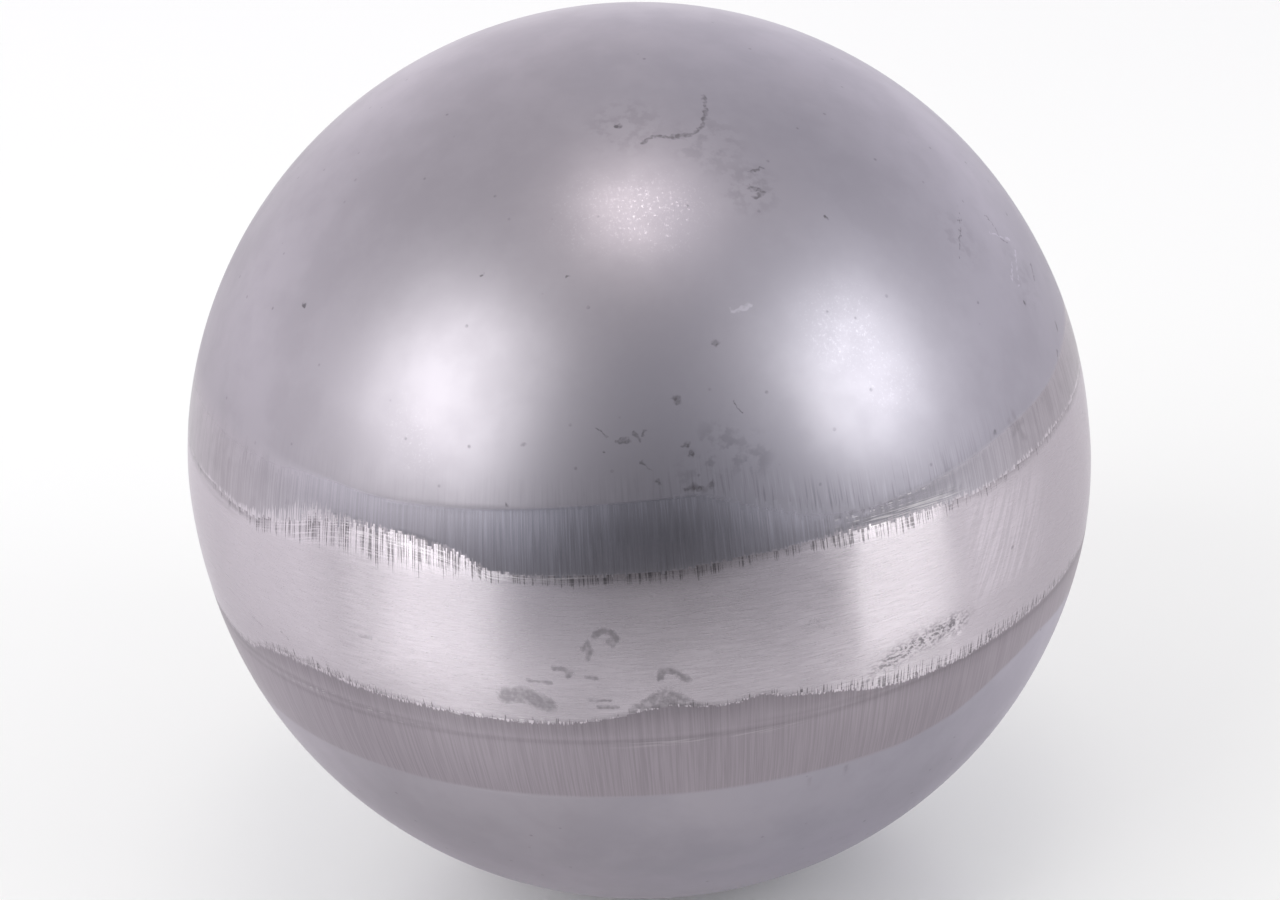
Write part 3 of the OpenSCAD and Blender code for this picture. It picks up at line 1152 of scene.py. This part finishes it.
def ground_finish():
    """The ground band: scratches round the seam, stains, a rough patch and a slanting dressing."""
    n = Steel("ground_steel_skin", GROUND_GRAIN, 0.25)
    drift = n.plus(n.z, n.times(n.cloud(3, 1), 0.14))
    brush = n.grain(2.2, 0.09, 3, 0.7, drift)
    calm = n.times(n.sides(), 0.75)
    colour = n.colour(n.blend(calm, n.ramp(brush, 0.40, 0.63), 0.55), GROUND_DULL, GROUND_PALE)
    # Painted shade towards the sides of the ball, then the band's painted shade and half-worn skin
    colour = n.shade(n.shade(colour, n.painted_side_shade(), GROUND_SIDES_PAINTED_SHADE), n.data("haze_and_painted_shade"), HAZE_AND_PAINTED_SHADE_DARK)
    film = n.cloud(0.42, 3, 0.65)
    stained = n.data("stain")
    torn = n.plus(stained, n.times(n.minus(film, 0.5), n.ramp(stained, 0, 0.3, 0, 0.9)))
    stain = n.times(n.ramp(torn, 0.12, 0.75), n.ramp(film, 0.30, 0.60, 0.36, 0.60))
    colour = n.colour(stain, colour, STAIN_COLOUR)
    patch = n.data("patch")
    crust = n.grain(0.44, 0.26, 3, 0.65)
    colour = n.shade(colour, patch, PATCH_DARK)
    colour = n.shade(colour, n.times(patch, n.ramp(crust, 0.54, 0.64)), CRUST_PALE)
    pits = n.times(patch, n.ramp(crust, 0.52, 0.42))
    colour = n.colour(n.times(pits, PIT_DARK), colour, SPECK_COLOUR)
    run = (math.cos(math.radians(SLANT_LON)), math.sin(math.radians(SLANT_LON)), 0)
    across = n.vector("DOT_PRODUCT", n.place, run, result=1)
    climb = n.times(n.minus(across, n.times(n.z, 0.6)), 2.2)
    stripes = n.noise(n.join(climb, n.times(n.plus(across, n.z), 0.1), 0), 1)
    colour = n.shade(colour, n.times(n.data("slant"), n.ramp(stripes, 0.40, 0.62)), SLANT_PALE)
    left = n.data("lattice")
    white_crests_and_highlight = n.data("white_crests_and_highlight")
    near = n.most(n.ramp(n.data("top_in"), 0.9, -0.1), n.ramp(n.data("foot_in"), 0.6, -0.1))
    colour = n.shade(colour, n.times(near, n.ramp(white_crests_and_highlight, 0.45, 0.10)), NEAR_DARK)
    scratch = n.passes()
    comb = n.grain(0.14, 6, 1)
    mark = n.minus(comb, n.ramp(left, 0, 1, 0.28, 0.46))
    mark = n.times(n.ramp(mark, 0.03, -0.04), n.ramp(left, 0.02, 0.15))
    colour = n.shade(colour, n.times(mark, n.ramp(scratch, 0, 1, 1, 0.55)), COMB_DARK)
    # Bright crests between the marks, partly painted highlight
    pale = n.most(scratch, n.ramp(comb, 0.52, 0.62))
    colour = n.edge_lines(n.shade(colour, n.times(pale, white_crests_and_highlight), WHITE_CRESTS_AND_HIGHLIGHT), scratch)
    rough = n.plus(n.ramp(brush, 0.3, 0.7, 0.278, 0.258), n.times(stain, STAIN_ROUGH))
    round_seam = n.join(n.times(n.ring_y, -1), n.ring_x, 0)
    lift = n.times(n.minus(brush, 0.5), n.blend(calm, BRUSH_TILT, 0))
    return n.finish(colour, rough, n.lean(lift, round_seam))


pressed_steel = pressed_finish()
drawn_steel = drawn_finish()
ground_steel = ground_finish()


def dress(piece, node, materials):
    for material in materials:
        piece.data.materials.append(material)
    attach(piece, "root")
    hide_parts(node)


half_materials = (pressed_steel, drawn_steel, ground_steel)
dress(half_shell("upper_skin", 1, half_zones), "upper_half_shell", half_materials)
dress(half_shell("lower_skin", -1, half_zones), "lower_half_shell", half_materials)
dress(weld_ring("weld_skin", weld_zones), "weld_seam", (ground_steel,))


# Floor
FLOOR_R = 3.0
FLOOR_PALE = 0.91
FLOOR_FRONT_PAINTED_SHADE = 0.12
FLOOR_FALL = (-0.065, -0.27)
FLOOR_ROUGH = 0.28
FLOOR_IOR = 2.1


def floor():
    """A pale floor with painted shade: its colour darkens in front of the ball, towards the camera."""
    place = (0, 0, -POLE * MM)
    bpy.ops.mesh.primitive_circle_add(vertices=96, radius=FLOOR_R, fill_type="NGON", location=place)
    obj = bpy.context.object
    obj.name = "floor"
    material = bpy.data.materials.new("floor_with_painted_shade")
    material.use_nodes = True
    shader = material.node_tree.nodes["Principled BSDF"]
    n = Nodes(material.node_tree)
    depth = n.split(n.add("TexCoord").outputs["Object"])[1]
    # Painted shade: the floor's colour darkens in front of the ball
    tone = n.ramp(depth, FLOOR_FALL[0], FLOOR_FALL[1], FLOOR_PALE, FLOOR_FRONT_PAINTED_SHADE)
    n.put(n.join(tone, tone, tone), shader.inputs["Base Color"])
    shader.inputs["Roughness"].default_value = FLOOR_ROUGH
    shader.inputs["IOR"].default_value = FLOOR_IOR
    obj.data.materials.append(material)


floor()

# Studio: soft boxes by azimuth from the camera's side, elevation, distance, width and height in metres,
# radiance and tint
SOFT_BOXES = (
    ("left_box", -46.0, 30.9, 0.9, 0.37, 0.63, 2.56, (0.97, 1.0, 0.95)),
    ("left_side", -65.6, 30.4, 0.9, 0.25, 0.62, 1.98, (0.97, 1.0, 0.95)),
    ("right_box", 61.0, 25.4, 0.9, 0.40, 0.50, 2.98, (0.98, 1.02, 0.95)),
    ("top_box", 22.0, 80.0, 0.9, 0.31, 0.31, 2.95, (1.0, 0.96, 0.90)),
)


def soft_box(name, azimuth, elevation, distance, width, height, radiance, tint):
    light = bpy.data.lights.new(name, "AREA")
    light.shape = "RECTANGLE"
    light.size = width
    light.size_y = height
    light.energy = radiance * math.pi * width * height
    light.color = tint
    obj = bpy.data.objects.new(name, light)
    bpy.context.scene.collection.objects.link(obj)
    towards = aim(azimuth, elevation)
    obj.location = towards * distance
    obj.rotation_euler = towards.to_track_quat("Z", "Y").to_euler()


for box in SOFT_BOXES:
    soft_box(*box)

# Room tones by angle from the camera's side, as a share of a half turn: dark behind the camera, pale round it
ROOM_TONES = (
    (0, 0.115), (0.06, 0.14), (0.12, 0.29), (0.2, 0.59), (0.31, 0.84), (0.5, 1.05), (0.75, 1.38),
    (1, 1.54),
)
ROOM_TINT = (1.0, 0.99, 1.01)
DARK_TINT = (0.97, 1.0, 1.07)
DARK_TO = 0.25
ROOM_TOP = 0.64
ROOM_SIDES = (1.05, 0.845)
DARK_AZIMUTH = 3.0
DARK_ELEVATION = -3.0
# A faint glow round the right box: azimuth, elevation, level, and its reach as cosines from rim to core
GLOW = (64.0, 26.0, 0.25, 0.68, 0.96)


def room():
    world = bpy.data.worlds.new("room")
    bpy.context.scene.world = world
    world.use_nodes = True
    n = Nodes(world.node_tree)
    background = world.node_tree.nodes["Background"]
    towards = n.add("TexCoord").outputs["Generated"]
    right, _, up = n.split(towards)
    dark = n.vector("DOT_PRODUCT", towards, aim(DARK_AZIMUTH, DARK_ELEVATION), result=1)
    angle = n.times(n.math("ARCCOSINE", dark), 1.0 / math.pi)
    tones = n.add("ValToRGB")
    n.put(angle, tones.inputs[0])
    stops = tones.color_ramp.elements
    while len(stops) < len(ROOM_TONES):
        stops.new(0.5)
    for stop, (place, level) in zip(stops, ROOM_TONES):
        stop.position = place
        tint = DARK_TINT if place < DARK_TO else ROOM_TINT
        stop.color = (level * tint[0], level * tint[1], level * tint[2], 1.0)
    top = n.ramp(up, 0.05, 0.80, 1.0, ROOM_TOP)
    top = n.times(top, n.ramp(right, -0.9, 0.9, ROOM_SIDES[0], ROOM_SIDES[1]))
    level = n.join(top, top, top)
    tone = n.colour(1.0, tones.outputs[0], level, "MULTIPLY")
    azimuth, elevation, strength, rim, core = GLOW
    near = n.vector("DOT_PRODUCT", towards, aim(azimuth, elevation), result=1)
    glow = n.ramp(near, rim, core, 0.0, strength)
    n.put(n.colour(1.0, tone, n.join(glow, glow, glow), "ADD"), background.inputs["Color"])


room()

# Camera: in ball radii from the centre, level with the photograph's tilt and turn
CAMERA_DISTANCE = 5.0
CAMERA_ELEVATION = 22.4
CAMERA_ROLL = -4.1
IMAGE_W = 1280.0
OUTLINE_R = 451.2
SENSOR = 36.0


def camera():
    data = bpy.data.cameras.new("camera")
    obj = bpy.data.objects.new("camera", data)
    bpy.context.scene.collection.objects.link(obj)
    towards = aim(0.0, CAMERA_ELEVATION)
    focal = OUTLINE_R * math.sqrt(CAMERA_DISTANCE ** 2 - 1.0)
    data.sensor_width = SENSOR
    data.lens = focal * SENSOR / IMAGE_W
    data.clip_start = 0.01
    roll = Matrix.Rotation(math.radians(CAMERA_ROLL), 4, "Z")
    turn = towards.to_track_quat("Z", "Y").to_matrix().to_4x4()
    obj.matrix_world = Matrix.Translation(towards * CAMERA_DISTANCE * GROUND_R * MM) @ turn @ roll
    bpy.context.scene.camera = obj


camera()
bpy.context.scene.view_settings.view_transform = "Standard"
